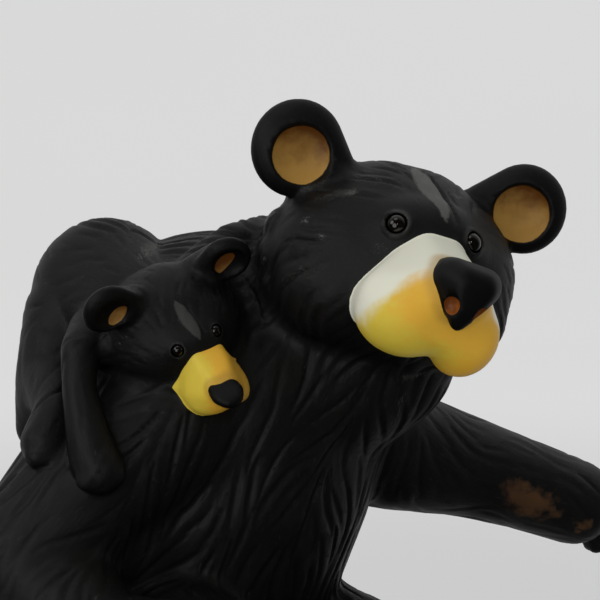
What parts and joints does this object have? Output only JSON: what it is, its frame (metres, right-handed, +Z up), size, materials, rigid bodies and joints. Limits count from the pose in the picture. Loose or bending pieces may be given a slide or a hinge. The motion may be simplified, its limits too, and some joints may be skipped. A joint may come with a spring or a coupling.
{
  "type": "bear figurine",
  "caption": "Seated black bear figurine with an outstretched arm and a cub climbing over its shoulder, cast together with a low base, with set-in glass eyes.",
  "frame": {"origin": "the middle of the flat underside of the base", "axes": "+Z up, the seated bear faces -Y with her head turned to her right, and her left side, with the outstretched arm, is +X"},
  "size_m": [0.1974, 0.1586, 0.1612],
  "materials": {
    "painted_resin": "cast resin, hand painted satin black, with a cream to yellow muzzle and orange ears",
    "dark_glass": "polished, near black"
  },
  "bodies": {
    "root": {"bear_and_cub": "painted_resin", "mother_eye_right": "dark_glass", "mother_eye_left": "dark_glass", "cub_eye_right": "dark_glass", "cub_eye_left": "dark_glass"}
  },
  "joints": []
}
